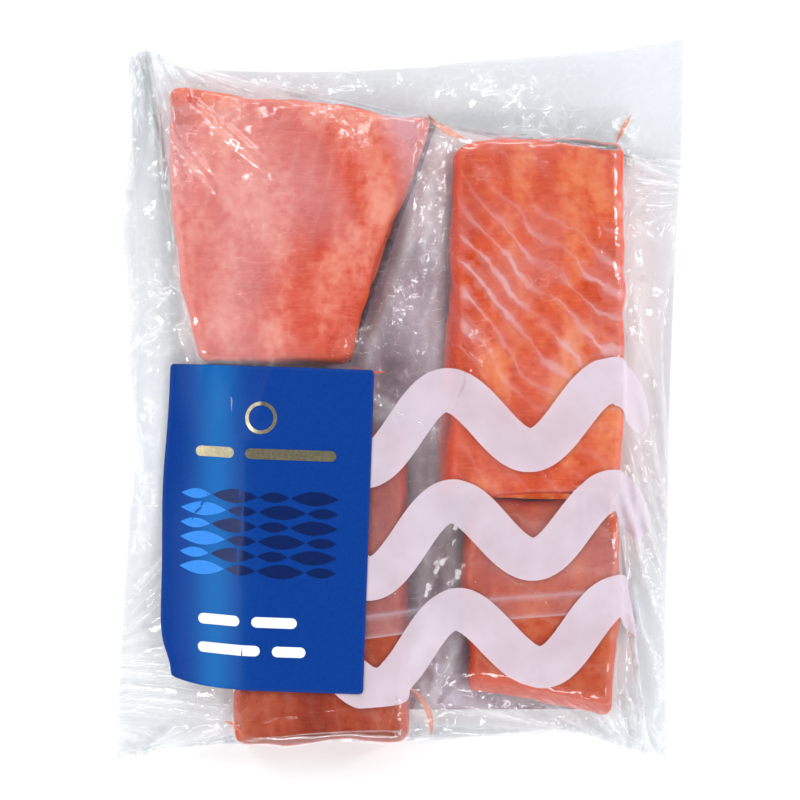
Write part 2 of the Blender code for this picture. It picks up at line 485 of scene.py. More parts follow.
def shape_portion(name, corners, foot, bows, heights, sheets):
    """One portion, with the map of its muscle sheets stored on its points."""
    piece = cut_slab(name, corners, foot, heights)
    upright = [edge.index for edge in piece.data.edges if is_upright(piece, edge)]
    only(piece)
    bpy.ops.object.mode_set(mode="EDIT")
    bpy.ops.mesh.select_all(action="DESELECT")
    bpy.ops.object.mode_set(mode="OBJECT")
    for number in upright:
        piece.data.edges[number].select = True
    bpy.ops.object.mode_set(mode="EDIT")
    bpy.ops.mesh.select_mode(type="EDGE")
    bpy.ops.mesh.bevel(offset=CORNER_ROUNDING, segments=4)
    bpy.ops.mesh.select_mode(type="VERT")
    bpy.ops.object.mode_set(mode="OBJECT")
    apply(piece, "BEVEL", width=EDGE_ROUNDING, segments=4, limit_method="ANGLE", angle_limit=EDGE_ANGLE)
    apply(piece, "REMESH", mode="VOXEL", voxel_size=VOXEL)
    apply(piece, "SMOOTH", factor=0.5, iterations=3)
    places = points_of(piece)
    middle = np.mean(corners, axis=0) * MM
    x, y = (places[:, 0] - middle[0]) / MM, (places[:, 1] - middle[1]) / MM
    across = (y + sheets["lean"] * x - sheets["bend"] * x * x) / sheets["apart"]
    from_strongest = (places[:, 1] / MM - sheets["strong_at"]) / sheets["reach"]
    fat = sheets["fat"] * np.clip(1.3 * np.exp(-(from_strongest**2)), 0.15, 1)
    depth = inside_by(places, corners)
    rise = np.clip((places[:, 2] - 4 * MM) / (6 * MM), 0, 1)

    swell = roughness_of(places, 26, 3) * 0.9 + roughness_of(places, 7, 8) * 0.2
    valley = np.exp(-(((across - np.round(across)) / 0.16) ** 2)) * fat
    places[:, 2] += rise * (swell * MM - valley * VALLEY_DEPTH)
    wall = rise * np.clip(1 - depth / (2.5 * MM), 0, 1) * roughness_of(places, 16, 5) * 1.1 * MM
    outward = np.stack((x, y), axis=1) / np.hypot(x, y)[:, None]
    waver = (roughness_of(places * (1, 1, 0), 30, 15) * 2.6 + roughness_of(places, 8, 16) * 0.9) * MM
    places[:, :2] += outward * (wall + waver * np.clip(1 - depth / (20 * MM), 0, 1))[:, None]
    places[:, :2] += bow_sides(places, corners, bows)
    move_points(piece, places)
    note(piece, "across", across)
    note(piece, "fat", fat * rise)
    # rim: how strongly the painted edge glow shows.
    note(piece, "rim", np.clip(1 - depth / EDGE_GLOW_BREADTH, 0, 1) ** 2 * EDGE_GLOW_SHARE)
    return piece


# %% Lay the skin under a portion
def lay_skin(name, corners, foot, skin):
    """The skin a portion lies on: a thin slab with a wavy edge that may stand a little past the cut."""
    sheet = flat_grid(name, 60, 60)
    share = points_of(sheet)
    base = [np.add(np.add(*pair), past) for *pair, past in zip(corners, foot, skin)]
    u, v = share[:, :1], share[:, 1:2]
    plan = (1 - v) * ((1 - u) * base[0] + u * base[1]) + v * ((1 - u) * base[3] + u * base[2])
    places = np.column_stack((plan * MM, np.full(len(share), SKIN_BASE)))
    edge = np.clip(np.abs(share[:, :2] - 0.5).max(axis=1) * 2 - 0.9, 0, 1) * 10
    places[:, 0] += edge * roughness_of(places, 18, 2) * 0.8 * MM
    places[:, 1] += edge * roughness_of(places, 18, 6) * 0.8 * MM
    move_points(sheet, places)
    apply(sheet, "SOLIDIFY", thickness=SKIN_TOP - SKIN_BASE, offset=1)
    return sheet


# %% Make the portions and their skin
# Per portion: material name, deep, middle and pale flesh, fat, the painted edge glow, and the turn of the fibres.
FLESH = {
    "belly_end": ("pink_belly_flesh", "#cf4226", "#e2624a", "#f6a088", "#f3bcac", "#df5412", 1.2),
    "loin": ("coral_loin_flesh", "#cc4216", "#e05a32", "#f2905e", "#ecb8b8", "#e44604", 0.12),
    "tail_end": ("deep_tail_flesh", "#943018", "#aa4023", "#c15e3d", "#cd8c80", "#c43c0c", 1.4),
    "short_loin": ("short_loin_flesh", "#a83818", "#bf4826", "#d66a3e", "#da9684", "#d04208", 0.2),
}
skin_material = salmon_skin()
portions = []
for name, cut in CUTS.items():
    solid = [cut[part] for part in ("corners", "foot", "bows", "heights", "sheets")]
    portion = shape_portion(name, *solid)
    finish_piece(portion, salmon_flesh(*FLESH[name]))
    portions.append(portion)
    skin = lay_skin(name + "_skin", cut["corners"], cut["foot"], cut["skin"])
    finish_piece(skin, skin_material)

# %% [markdown]
# ## Drawing the film down
# This is the heart of the model. On the line, the fish goes between two films, the air is pumped out and
# the edges are welded. The top film is pulled hard onto the fish, and where it has more width than it
# needs it folds, first near the seals. Wrinkles drawn by hand rarely look right, so the film is a cloth
# simulation: a flat sheet, a little larger than the pouch, falls on the portions while its rim is drawn
# in to the line of the welds. Extra weight stands for the air pressure.
#
# Blender's cloth works best on things about a metre across, so it all runs at ten times size.

# %% The pouch's outline
# The welded edges, in millimetres from the middle. The vacuum pulls the middle of each side inwards.
TOP_EDGE = ((-116, 146), (-106, 150), (-93, 142), (-42, 140), (0, 141.5), (67, 146), (121, 154))
BOTTOM_EDGE = ((-121, -153), (-97, -148), (-38, -146), (15, -145), (67, -141), (92, -147), (114, -154))
LEFT_EDGE = ((-121, -153), (-119, -105), (-115, -42), (-112, 21), (-113, 84), (-116, 146))
RIGHT_EDGE = ((114, -154), (113, -104), (114, -57), (115, 0), (118, 73), (120, 102), (121, 154))


def along_edge(points, share):
    """Places at these shares, 0 to 1, of a smooth Catmull-Rom curve through points."""
    line = np.array(points, float)
    line = np.vstack((2 * line[0] - line[1], line, 2 * line[-1] - line[-2]))
    spot = np.asarray(share) * (len(points) - 1)
    start = np.minimum(spot.astype(int), len(points) - 2)
    t = (spot - start)[..., None]
    before, a, b, after = (line[start + step] for step in range(4))
    bend = (2 * before - 5 * a + 4 * b - after) * t**2 + (3 * a - before - 3 * b + after) * t**3
    return (2 * a + (b - before) * t + bend) / 2 * MM


def on_pouch(across, up):
    """Plan places for shares across and up the pouch: a Coons patch between its four edges."""
    across, up = np.asarray(across, float), np.asarray(up, float)
    bottom, top = along_edge(BOTTOM_EDGE, across), along_edge(TOP_EDGE, across)
    left, right = along_edge(LEFT_EDGE, up), along_edge(RIGHT_EDGE, up)
    u, v = across[..., None], up[..., None]
    corners = [np.array(p) * MM for p in (BOTTOM_EDGE[0], BOTTOM_EDGE[-1], TOP_EDGE[0], TOP_EDGE[-1])]
    lower = (1 - u) * corners[0] + u * corners[1]
    upper = (1 - u) * corners[2] + u * corners[3]
    return (1 - v) * bottom + v * top + (1 - u) * left + u * right - (1 - v) * lower - v * upper


# %% Simulation settings
SIM_SCALE = 10
FILM_COLUMNS, FILM_ROWS = ((120, 152))
FRAMES = 44
DRAWN_IN_BY = 20
SPARE_WIDTH = 1.05
SPARE_LENGTH = 1.055
START_HEIGHT = 27 * MM
WELD_HEIGHT = 1.0 * MM
PRESSURE = -70


# %% Moulds and film for the simulation
def make_mould(piece):
    """A coarse copy of a portion, at the simulation's size, for the film to fall on."""
    only(piece)
    bpy.ops.object.duplicate()
    mould = bpy.context.active_object
    move_points(mould, points_of(mould) * SIM_SCALE)
    apply(mould, "REMESH", mode="VOXEL", voxel_size=2.6 * MM * SIM_SCALE)
    return mould


def let_film_rest_on(mould):
    """Makes a piece something that cloth lands on."""
    mould.modifiers.new("collision", "COLLISION")
    mould.collision.thickness_outer = 0.4 * MM * SIM_SCALE
    mould.collision.cloth_friction = 1.0
    mould.collision.damping = 0.9


def film_blank():
    """The flat sheet over the fish, with a shape key that draws its rim in to the welds."""
    blank = flat_grid("film_blank", FILM_COLUMNS, FILM_ROWS)
    share = points_of(blank)
    spare = (POUCH_WIDTH * SPARE_WIDTH, POUCH_LENGTH * SPARE_LENGTH)
    flat = np.column_stack(((share[:, :2] - 0.5) * spare, np.full(len(share), START_HEIGHT)))
    move_points(blank, flat * SIM_SCALE)
    rim = np.abs(share[:, :2] - 0.5).max(axis=1) > 0.499
    welded = flat.copy()
    welded[rim] = np.column_stack((on_pouch(share[rim, 0], share[rim, 1]), np.full(rim.sum(), WELD_HEIGHT)))
    blank.shape_key_add(name="flat")
    drawn = blank.shape_key_add(name="drawn_in")
    drawn.data.foreach_set("co", (welded * SIM_SCALE).astype(np.float32).ravel())
    drawn.value = 0
    drawn.keyframe_insert("value", frame=1)
    drawn.value = 1
    drawn.keyframe_insert("value", frame=DRAWN_IN_BY)
    held = blank.vertex_groups.new(name="rim")
    held.add(np.flatnonzero(rim).tolist(), 1.0, "REPLACE")
    return blank


def make_cloth(blank):
    """Film as cloth: thin, hard to stretch and easy to fold."""
    cloth = blank.modifiers.new("cloth", "CLOTH")
    film = cloth.settings
    film.quality = 6
    film.mass = 0.15
    film.tension_stiffness = film.compression_stiffness = 60
    film.shear_stiffness = 30
    film.bending_stiffness = 0.05
    film.tension_damping = film.compression_damping = film.shear_damping = 5
    film.bending_damping = 0.5
    film.air_damping = 2
    film.vertex_group_mass = "rim"
    film.pin_stiffness = 1
    cloth.collision_settings.distance_min = 0.5 * MM * SIM_SCALE
    cloth.collision_settings.collision_quality = 3
    cloth.collision_settings.use_self_collision = False
    cloth.point_cache.frame_start = 1
    cloth.point_cache.frame_end = FRAMES


# %% Run the simulation
scene = bpy.context.scene
moulds = [make_mould(piece) for piece in portions]
bpy.ops.mesh.primitive_plane_add(size=0.6 * SIM_SCALE, location=(0, 0, 0))
moulds.append(bpy.context.active_object)
for mould in moulds:
    let_film_rest_on(mould)
blank = film_blank()
make_cloth(blank)
scene.gravity = (0, 0, PRESSURE)
scene.frame_start, scene.frame_end = 1, FRAMES
for frame_number in range(1, FRAMES + 1):
    scene.frame_set(frame_number)
evaluated = blank.evaluated_get(bpy.context.evaluated_depsgraph_get())
drape = points_of(evaluated).reshape(FILM_ROWS + 1, FILM_COLUMNS + 1, 3) / SIM_SCALE
for helper in moulds + [blank]:
    bpy.data.objects.remove(helper, do_unlink=True)
scene.gravity = (0, 0, -9.81)
scene.frame_set(1)
print("film drawn down, z in mm:", (drape[..., 2].min() / MM).round(2), (drape[..., 2].max() / MM).round(2))

# %% [markdown]
# ## From the simulated sheet to fine film
# The simulated sheet has a point every 2 mm. Halving that with a smooth curve through the points keeps
# the folds soft. Film also has sharper marks than the cloth can hold: a few straight creases, and crushed
# patches near the corners of the fish. Those are added by formula, at named places.


# %% Refine the sheet
def halve_steps(rows):
    """A point between each pair of rows, on a smooth curve through the rows around it."""
    padded = np.concatenate((2 * rows[:1] - rows[1:2], rows, 2 * rows[-1:] - rows[-2:-1]))
    between = (9 * (padded[1:-2] + padded[2:-1]) - padded[:-3] - padded[3:]) / 16
    fine = np.empty((len(rows) * 2 - 1, *rows.shape[1:]))
    fine[::2], fine[1::2] = rows, between
    return fine


film = halve_steps(drape)
film = halve_steps(film.swapaxes(0, 1)).swapaxes(0, 1)
film_rows, film_columns = film.shape[:2]
print("film points:", film_rows, "by", film_columns)

# %% Creases and crushed patches
# Creases: two ends, how high the fold stands and how wide it is, in millimetres.
CREASES = (
    ((93, 77), (100, 108), 1.2, 2.5),
    ((93, 77), (99, 40), 1.2, 2.5),
    ((93, 77), (113, 66), 0.9, 2.5),
    ((93, 77), (112, 92), 0.7, 2.0),
    ((97, 46), (108, 8), 0.9, 2.0),
    ((-84, 112), (-88, 82), 0.7, 1.4),
    ((-70, 105), (-48, 106), 0.5, 1.2),
    ((-54, 92), (-50, 118), 0.35, 2.5),
    ((-8, 118), (10, 90), 0.6, 2.0),
    ((8, 112), (3, 60), 1.0, 2.0),
    ((14, 98), (9, 52), 0.8, 1.6),
    ((20, 90), (16, 55), 0.8, 1.6),
    ((-30, 12), (16, -14), 1.0, 2.2),
    ((26, 28), (36, 8), 0.9, 1.6),
    ((30, 18), (22, -6), 0.8, 1.6),
    ((98, -30), (101, -75), 0.9, 2.0),
    ((12, -128), (27, -96), 1.2, 2.5),
    ((101, -70), (110, -120), 0.8, 2.0),
    ((-106, 120), (-101, 60), 0.7, 2.0),
    ((-104, 20), (-108, -60), 0.7, 2.0),
)
# Crushed patches: the middle, the reach across and up, and the depth of the crumpling, in millimetres.
CRUSHED = (
    (-92, 112, 9, 22, 1.1),
    (-70, 119, 14, 6, 0.7),
    (-30, 121, 6, 6, 1.2),
    (-18, 111, 6, 8, 1.0),
    (-50, 64, 10, 14, 0.2),
    (-60, 92, 8, 3, 0.5),
    (-66, 50, 5, 14, 0.35),
    (14, 108, 8, 8, 0.8),
    (-16, 24, 9, 6, 0.7),
    (33, 22, 5, 9, 0.9),
    (35, 94, 6, 3, 0.5),
    (60, 50, 5, 9, 0.4),
    (14, 84, 6, 30, 0.8),
    (2, 40, 9, 22, 0.5),
    (96, 112, 8, 9, 0.8),
    (96, 78, 6, 12, 0.7),
    (102, 40, 6, 16, 0.6),
    (104, -20, 5, 26, 0.5),
    (62, 120, 20, 7, 0.7),
    (42, 132, 22, 7, 0.6),
    (-30, 134, 40, 5, 0.5),
    (-104, 50, 6, 30, 0.6),
    (-108, -30, 5, 40, 0.6),
    (4, -8, 14, 12, 0.5),
    (92, -52, 7, 16, 0.6),
    (8, -125, 9, 14, 0.8),
    (-73, -133, 9, 9, 0.5),
    (60, -128, 22, 6, 0.6),
)


def off_segment(plan, start, end):
    """Distance of plan places from a straight line, and how far along it they are, 0 to 1."""
    start, end = np.array(start) * MM, np.array(end) * MM
    run = end - start
    share = np.clip(((plan - start) @ run) / (run @ run), 0, 1)
    return np.linalg.norm(plan - start - share[..., None] * run, axis=-1), share


def crease_height(plan):
    """How far the creases lift the film at plan places, as straight-sided folds."""
    lift = np.zeros(plan.shape[:-1])
    for start, end, height, width in CREASES:
        off, share = off_segment(plan, start, end)
        fold = np.clip(1 - off / (width * MM), 0, 1)
        lift += fold * height * MM * np.sin(math.pi * np.clip(share, 0.04, 0.96)) ** 0.5
    return lift


def crush_depth(flat):
    """How deeply the film is crumpled at rows of plan places, in metres."""
    depth = np.zeros(len(flat))
    for x, y, reach_x, reach_y, most in CRUSHED:
        near = ((flat[:, 0] / MM - x) / reach_x) ** 2 + ((flat[:, 1] / MM - y) / reach_y) ** 2
        depth += most * MM * np.exp(-near)
    return depth


def crumple(plan):
    """The relief of the crushed patches: flat facets that meet in sharp folds."""
    flat = plan.reshape(-1, 2)
    places = np.column_stack((flat, np.zeros(len(flat))))
    folds = np.abs(roughness_of(places, 9, 1)) + 0.5 * np.abs(roughness_of(places, 4, 4))
    return (crush_depth(flat) * (0.5 - folds)).reshape(plan.shape[:-1])


def crush_note(piece, base_fish, base_margin):
    """Stores how crumpled the film is, 0 to 1, on its points: a little everywhere, more off the fish."""
    places = points_of(piece)
    outside = np.min([-inside_by(places, cut["corners"]) for cut in CUTS.values()], axis=0)
    off_fish = np.clip(outside / (8 * MM), 0, 1)
    patch = np.clip(crush_depth(places[:, :2]) / (0.8 * MM), 0, 1)
    note(piece, "crush", np.clip(patch + base_fish + (base_margin - base_fish) * off_fish, 0, 1))


plan = film[..., :2].copy()
share_x = np.linspace(0, 1, film_columns)[None, :]
share_y = np.linspace(0, 1, film_rows)[:, None]
from_rim = np.minimum(
    np.minimum(share_x, 1 - share_x) * POUCH_WIDTH, np.minimum(share_y, 1 - share_y) * POUCH_LENGTH
)
ease_in = np.clip(from_rim / (8 * MM), 0, 1)
film[..., 2] += ease_in * (crease_height(plan) + crumple(plan))


# %% Keep the film off the fish
FILM_CLEARANCE = 0.9 * MM


def tree_of(piece):
    """A search tree of a piece's faces, for finding what lies below a place."""
    faces = [tuple(face.vertices) for face in piece.data.polygons]
    return BVHTree.FromPolygons([v.co for v in piece.data.vertices], faces)


def height_below(trees, x, y, missing=0.0):
    """The highest surface of these trees under a plan place."""
    hits = [tree.ray_cast(Vector((x, y, 1)), Vector((0, 0, -1)))[0] for tree in trees]
    return max((hit.z for hit in hits if hit), default=missing)


fish = [tree_of(piece) for piece in portions]
under = np.array([height_below(fish, x, y) for x, y in film[..., :2].reshape(-1, 2)])
under = under.reshape(film_rows, film_columns)
poking = (film[..., 2] < under + FILM_CLEARANCE) & (under > 0)
film[..., 2] = np.where(under > 0, np.maximum(film[..., 2], under + FILM_CLEARANCE), film[..., 2])
film[..., 2] = np.maximum(film[..., 2], 0.9 * MM * ease_in + 0.5 * MM)
print("film points lifted off the fish:", int(poking.sum()))


def on_film(across, up):
    """Places on the film for shares across and up the pouch."""
    column = np.clip(np.asarray(across, float), 0, 1) * (film_columns - 1)
    row = np.clip(np.asarray(up, float), 0, 1) * (film_rows - 1)
    left = np.minimum(column.astype(int), film_columns - 2)
    low = np.minimum(row.astype(int), film_rows - 2)
    s, t = (column - left)[..., None], (row - low)[..., None]
    below = (1 - s) * film[low, left] + s * film[low, left + 1]
    above = (1 - s) * film[low + 1, left] + s * film[low + 1, left + 1]
    return (1 - t) * below + t * above


def film_share(x_mm, y_mm):
    """Shares across and up the film for a place on the flat pouch, in millimetres."""
    return np.asarray(x_mm) * MM / POUCH_WIDTH + 0.5, np.asarray(y_mm) * MM / POUCH_LENGTH + 0.5


# %% [markdown]
# ## Clear film
# The pouch is a laminate of polyamide and polyethylene, about 0.1 mm thick, clear straight through and
# glossy on both faces. Where air is trapped under it or it is crushed, it looks milky.
#
# Glass with refraction would need a real thickness and many more light bounces. A Transparent shader
# mixed with a little white Diffuse, plus a share of Glossy, looks the same on a film this thin. The share
# follows Schlick's rule: a few in a hundred head-on, from both faces together, and rising steeply towards
# grazing. Blender's Fresnel node would take the film's back for the inside of a solid and block light.
#
# Along sharp folds the film is painted whiter: partly the real whitening of creased film, mostly a painted
# highlight for the glints the folds catch. The curve of the film's height says where: a ridge is a point
# higher than the points around it.


# %% Film material
FACET_MM = 4.2


def clear_film(name, cast, milk, smoothness, head_on, edge_on, ripple_mm):
    """Clear laminate film whose points say how milky and how crushed it is."""
    material = new_material(name)
    place = add(material, "TexCoord").outputs["Object"]
    veil = add(material, "Attribute", attribute_name="veil").outputs["Fac"]
    crush = add(material, "Attribute", attribute_name="crush").outputs["Fac"]

    # Ripples: noise a fifth of a millimetre high.
    waves = {"Vector": place, "Scale": per_metre(ripple_mm), "Detail": 3.0, "Roughness": 0.45}
    rippled = add(material, "TexNoise", waves)
    # Facets: each cell is a small plane with its own tilt, so its height is the tilt times how far a
    # place is from the middle of its cell. The ripples jog the borders between the cells.
    jog = {0: rippled.outputs["Color"], 1: (4 * MM, 4 * MM, 4 * MM), 2: place}
    jogged = add(material, "VectorMath", jog, operation="MULTIPLY_ADD")
    cells = add(material, "TexVoronoi", {"Vector": jogged, "Scale": per_metre(FACET_MM)})
    tilt = {0: cells.outputs["Color"], 1: (0.5, 0.5, 0.5)}
    tilt = add(material, "VectorMath", tilt, operation="SUBTRACT")
    from_middle = {0: jogged, 1: cells.outputs["Position"]}
    from_middle = add(material, "VectorMath", from_middle, operation="SUBTRACT")
    plane = add(material, "VectorMath", {0: tilt, 1: from_middle}, operation="DOT_PRODUCT").outputs["Value"]
    facets = add(material, "Math", {0: plane, 1: crush}, operation="MULTIPLY")
    relief = add(material, "Math", {0: rippled, 1: 0.2 * MM, 2: facets}, operation="MULTIPLY_ADD")
    bump = add(material, "Bump", {"Height": relief, "Strength": 1.0, "Distance": 1.0})

    through = add(material, "BsdfTransparent", {"Color": srgb(cast)})
    white = add(material, "BsdfDiffuse", {"Color": srgb(milk)})
    body = add(material, "MixShader", {0: veil, 1: through, 2: white})
    shine = {"Color": (1, 1, 1, 1), "Roughness": smoothness, "Normal": bump}
    gloss = add(material, "BsdfAnisotropic", shine)
    facing = add(material, "LayerWeight", {"Blend": 0.5, "Normal": bump}).outputs["Facing"]
    steep = add(material, "Math", {0: facing, 1: 5.0}, operation="POWER")
    share = {0: steep, 1: edge_on, 2: head_on}
    mirror = add(material, "Math", share, operation="MULTIPLY_ADD")
    shown = add(material, "MixShader", {0: mirror, 2: gloss})
    surface = add(material, "AddShader", {0: body, 1: shown})
    add(material, "OutputMaterial", {"Surface": surface})
    return material


# %% Outer film
outer = flat_grid("outer_film", film_columns - 1, film_rows - 1)
move_points(outer, film)
HIGHLIGHT_FROM, HIGHLIGHT_FULL = 0.02 * MM, 0.16 * MM


def ridge_highlights(height):
    """How sharply a sheet of heights is folded up at each point, 0 to 1."""
    around = height[:-2, 1:-1] + height[2:, 1:-1] + height[1:-1, :-2] + height[1:-1, 2:]
    curve = np.zeros(height.shape)
    curve[1:-1, 1:-1] = height[1:-1, 1:-1] - around / 4
    sharp = np.clip((curve - HIGHLIGHT_FROM) / (HIGHLIGHT_FULL - HIGHLIGHT_FROM), 0, 1)
    for _ in range(3):
        across = (sharp[:, :-2] + sharp[:, 2:] + 2 * sharp[:, 1:-1]) / 4
        sharp[:, 1:-1] = across
        up = (sharp[:-2] + sharp[2:] + 2 * sharp[1:-1]) / 4
        sharp[1:-1] = up
    return sharp


places = points_of(outer)
outside = np.min([-inside_by(places, cut["corners"]) for cut in CUTS.values()], axis=0)
off_fish = np.clip((outside - 2 * MM) / (6 * MM), 0, 1)
milky = 0.008 + off_fish * (0.02 + 0.1 * roughness_of(places, 22, 12).clip(0, 1))
# Painted light: a pale band some 7 mm out from the fish lifts the shade on the film that tents down beside it.
milky += off_fish * 0.09 * np.exp(-(((outside - 7 * MM) / (6 * MM)) ** 2))
# Painted highlight: the film is whitened along sharp fold crests off the fish, for the glints the folds catch.
milky += off_fish * 0.4 * ridge_highlights(film[..., 2]).ravel()
milky += 0.08 * np.clip(crush_depth(places[:, :2]) / MM, 0, 1)
note(outer, "veil", milky)
crush_note(outer, 0.03, 0.3)
front_film = clear_film("clear_laminate_film", "#f1f2f3", "#f8fafa", 0.08, 0.055, 0.4, 7)
finish_piece(outer, front_film)
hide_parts("pouch")

# %% Back film
BACK_HEIGHT = 0.25 * MM
back = flat_grid("back_film", 80, 100)
share = points_of(back)
back_plan = on_pouch(share[:, 0], share[:, 1])
move_points(back, np.column_stack((back_plan, np.full(len(share), BACK_HEIGHT))))
note(back, "veil", np.full(len(share), 0.03))
crush_note(back, 0.0, 0.1)
only(back)
bpy.ops.object.mode_set(mode="EDIT")
bpy.ops.mesh.select_all(action="SELECT")
bpy.ops.mesh.flip_normals()
bpy.ops.object.mode_set(mode="OBJECT")
back_film = clear_film("back_laminate_film", "#f4f5f6", "#f8fafa", 0.14, 0.04, 0.3, 9)
finish_piece(back, back_film)

# %% [markdown]
# ## Inner film
# The portions are in an inner bag as well, open at its foot beyond a flat seal. It follows the outer
# film half a millimetre below it, and air between the two makes the fish under it look milky and pink.
# Where the film is wet and clings, the fish shows its full colour, so the milkiness is stored on the
# points: a base, broad clouds of noise, and named clear patches.

# %% Where the inner film lies and how milky it is
INNER_LEFT, INNER_RIGHT = -99, 103
INNER_FOOT, INNER_TOP = -91, 127
SEAL_BREADTH = 8.4
FILM_GAP = 0.42 * MM
# Places across and up in millimetres, reach across and up, and how much milkiness is added or taken.
CLOUDS = (
    (-40, 85, 40, 44, 0.17),
    (-64, 40, 24, 30, 0.1),
    (-29, 45, 16, 18, -0.2),
    (-1, 92, 9, 26, -0.24),
    (-80, 108, 12, 24, 0.12),
    (-66, 22, 20, 12, 0.08),
    (17, 84, 7, 32, 0.24),
    (19, 108, 8, 10, 0.2),
    (13, 20, 8, 34, 0.12),
    (60, 96, 30, 12, 0.03),
    (-8, -60, 14, 50, 0.1),
    (60, -70, 34, 16, 0.12),
)


def cloudiness(plan_mm):
    """How milky the inner film is at places in millimetres: hardly at all away from the fish."""
    places = np.column_stack((plan_mm, plan_mm[:, :1] * 0)) * MM
    total = 0.015 + 0.04 * roughness_of(places, 24, 20)
    for x, y, reach_x, reach_y, more in CLOUDS:
        near = ((plan_mm[:, 0] - x) / reach_x) ** 2 + ((plan_mm[:, 1] - y) / reach_y) ** 2
        total += more * np.exp(-near)
    outside = np.min([-inside_by(places, cut["corners"]) for cut in CUTS.values()], axis=0)
    in_gap = (np.abs(plan_mm[:, 0] - 8) < 24) & (plan_mm[:, 1] < 112)
    over_fish = np.where(in_gap, 1, np.clip(1 - outside / (6 * MM), 0, 1))
    return np.clip(total, 0, 0.6) * over_fish


# %% Make the inner film
inner = flat_grid("inner_film", 160, 180)
share = points_of(inner)
x_mm = INNER_LEFT + (INNER_RIGHT - INNER_LEFT) * share[:, 0]
y_mm = INNER_FOOT + (INNER_TOP - INNER_FOOT) * share[:, 1]
places = on_film(*film_share(x_mm, y_mm))
seal_share = (y_mm - INNER_FOOT) / SEAL_BREADTH
in_seal = (seal_share < 1).astype(float)
seal_lines = np.exp(-((seal_share / 0.12) ** 2)) + np.exp(-(((seal_share - 1) / 0.12) ** 2))
places[:, 2] -= FILM_GAP - seal_lines * 0.25 * MM
move_points(inner, places)
plan_mm = np.column_stack((x_mm, y_mm))
note(inner, "veil", cloudiness(plan_mm) + in_seal * 0.05 + 0.25 * seal_lines)
crush_note(inner, 0.02, 0.3)
inner_film = clear_film("inner_bag_film", "#fdfdfd", "#f6e6f1", 0.1, 0.018, 0.15, 9)
finish_piece(inner, inner_film)


# %% [markdown]
# ## Painted shade under the fish
# Between the portions the pouch shows a mauve-grey, the shade deep in the gaps. A thin sheet under all four
# portions carries it as painted shade. It is flat where a portion weighs on it and rises in soft wrinkles in the
# gaps. It is a sheet of grid points lifted by folded noise wherever no portion is near.


# %% Material of the painted shade
def painted_gap_shade():
    """A glossy sheet in mottled mauve-greys, the painted shade of the gaps, paler where that shade fades out."""
    material = new_material("painted_gap_shade_sheet")
    place = add(material, "TexCoord").outputs["Object"]
    # Painted shade: mottled mauve-greys for the shade in the gaps.
    shade_mottle = add(material, "TexNoise", {"Vector": place, "Scale": per_metre(28), "Detail": 4.0})
    stops = ((0.36, "#86656f"), (0.5, "#a58c9c"), (0.66, "#c8b6c8"))
    colour = add(material, "ValToRGB", {0: shade_mottle}, stops)
    # The painted shade fades to pale towards the top, where the gaps end.
    shade_fades = add(material, "Attribute", attribute_name="shade_fades").outputs["Fac"]
    mix = {0: shade_fades, 6: colour, 7: srgb("#eee6ec")}
    colour = add(material, "Mix", mix, data_type="RGBA").outputs[2]
    fine = add(material, "TexNoise", {"Vector": place, "Scale": per_metre(6), "Detail": 3.0})
    bump = add(material, "Bump", {"Height": fine, "Strength": 0.5, "Distance": 0.6 * MM})
    inputs = {"Base Color": colour, "Roughness": 0.22, "IOR": 1.5, "Normal": bump}
    shader = add(material, "BsdfPrincipled", inputs)
    add(material, "OutputMaterial", {"Surface": shader})
    return material


# %% Make the sheet of painted shade
SHADE_SHEET_LEFT, SHADE_SHEET_RIGHT = -64, 86
SHADE_SHEET_FOOT, SHADE_SHEET_TOP = -132, 107
SHADE_SHEET_HEIGHT = 0.5 * MM
SHADE_SHEET_WRINKLE = 4.5 * MM
# A sheet under the portions that carries the painted shade of the gaps.
shade_sheet = flat_grid("shade_sheet", 170, 220)
share = points_of(shade_sheet)
places = np.column_stack(
    (
        (SHADE_SHEET_LEFT + (SHADE_SHEET_RIGHT - SHADE_SHEET_LEFT) * share[:, 0]) * MM,
        (SHADE_SHEET_FOOT + (SHADE_SHEET_TOP - SHADE_SHEET_FOOT) * share[:, 1]) * MM,
        np.zeros(len(share)),
    )
)
clear_of = np.min([-inside_by(places, cut["corners"]) for cut in CUTS.values()], axis=0)
free = np.clip((clear_of - 2.5 * MM) / (5 * MM), 0, 1)
rim_free = np.clip((0.5 - np.abs(share[:, :2] - 0.5).max(axis=1)) / 0.04, 0, 1)
folded = 1 - np.abs(roughness_of(places * (1, 0.4, 1), 15, 40)) * 2.4
folded = folded * 0.7 + (1 - np.abs(roughness_of(places * (1, 0.6, 1), 6, 43)) * 2) * 0.3
places[:, 2] = SHADE_SHEET_HEIGHT + free * rim_free * np.clip(folded, 0, 1) * SHADE_SHEET_WRINKLE
# Painted shade fades out towards the top, where the gap between the columns ends.
note(shade_sheet, "shade_fades", np.clip((places[:, 1] / MM - 62) / 40, 0, 1) ** 1.5)
move_points(shade_sheet, places)
finish_piece(shade_sheet, painted_gap_shade())

# %% [markdown]
# ## Strips
# The print, the juice and the marks on the label are all flat shapes with a middle line and a width. One
# function lays a grid along the line and spreads it by the width, which gives enough points to bend with
# whatever the shape is stuck to.


# %% Make a strip
def strip(name, columns, rows, line, half_width):
    """A flat strip. line and half_width are functions of the share along it; line gives x, y in mm."""
    piece = flat_grid(name, columns, rows)
    share = points_of(piece)
    along = 0.5 - 0.5 * np.cos(math.pi * share[:, 0])
    step = 0.002
    here = np.array([line(s) for s in along])
    ahead = np.array([line(s + step) for s in along])
    run = (ahead - here) / np.linalg.norm(ahead - here, axis=1)[:, None]
    side = np.column_stack((-run[:, 1], run[:, 0]))
    breadth = np.array([half_width(s) for s in along]) * (share[:, 1] * 2 - 1)
    return piece, here + side * breadth[:, None]


